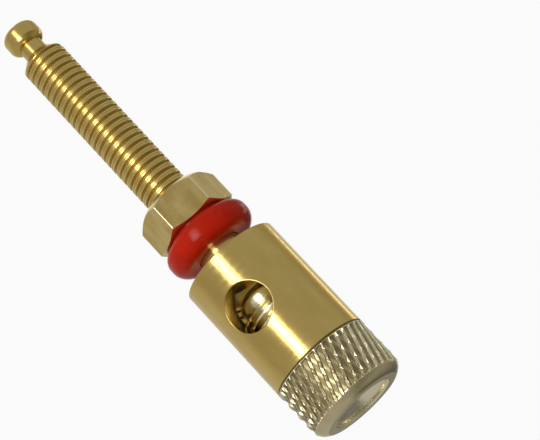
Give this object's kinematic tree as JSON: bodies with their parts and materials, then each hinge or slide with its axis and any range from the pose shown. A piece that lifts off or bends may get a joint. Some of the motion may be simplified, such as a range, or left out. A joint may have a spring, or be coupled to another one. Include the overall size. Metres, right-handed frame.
{
  "type": "binding post",
  "caption": "Panel binding post: cross-drilled brass barrel on a threaded stud with a solder turret, knurled hollow clamp knob, insulating bushing and hex nut.",
  "frame": {"origin": "on the post's axis, in the rear face of the bushing's flange, where the panel's front face seats", "axes": "+Z along the post's axis from the stud to the clamp knob; the cross hole for the wire runs along Y"},
  "size_m": [0.013, 0.013, 0.0644],
  "materials": {
    "plated_post": "polished, gold plated",
    "plated_knob": "diamond knurled and turned, gold plated",
    "red_plastic": "glossy moulded red",
    "plated_nut": "milled flats, gold plated, lightly scratched"
  },
  "bodies": {
    "post": {"post_body": "plated_post"},
    "knob": {"clamp_knob": "plated_knob"},
    "bushing": {"insulating_bushing": "red_plastic"},
    "nut": {"hex_nut": "plated_nut"}
  },
  "joints": [
    {"name": "clamp_travel", "type": "slide", "parent": "post", "child": "knob", "axis": [0, 0, 1], "range_m": [0, 0.008]},
    {"name": "bushing_play", "type": "slide", "parent": "post", "child": "bushing", "axis": [0, 0, 1], "range_m": [0, 0.00195]},
    {"name": "nut_travel", "type": "slide", "parent": "post", "child": "nut", "axis": [0, 0, -1], "range_m": [0, 0.024]}
  ]
}
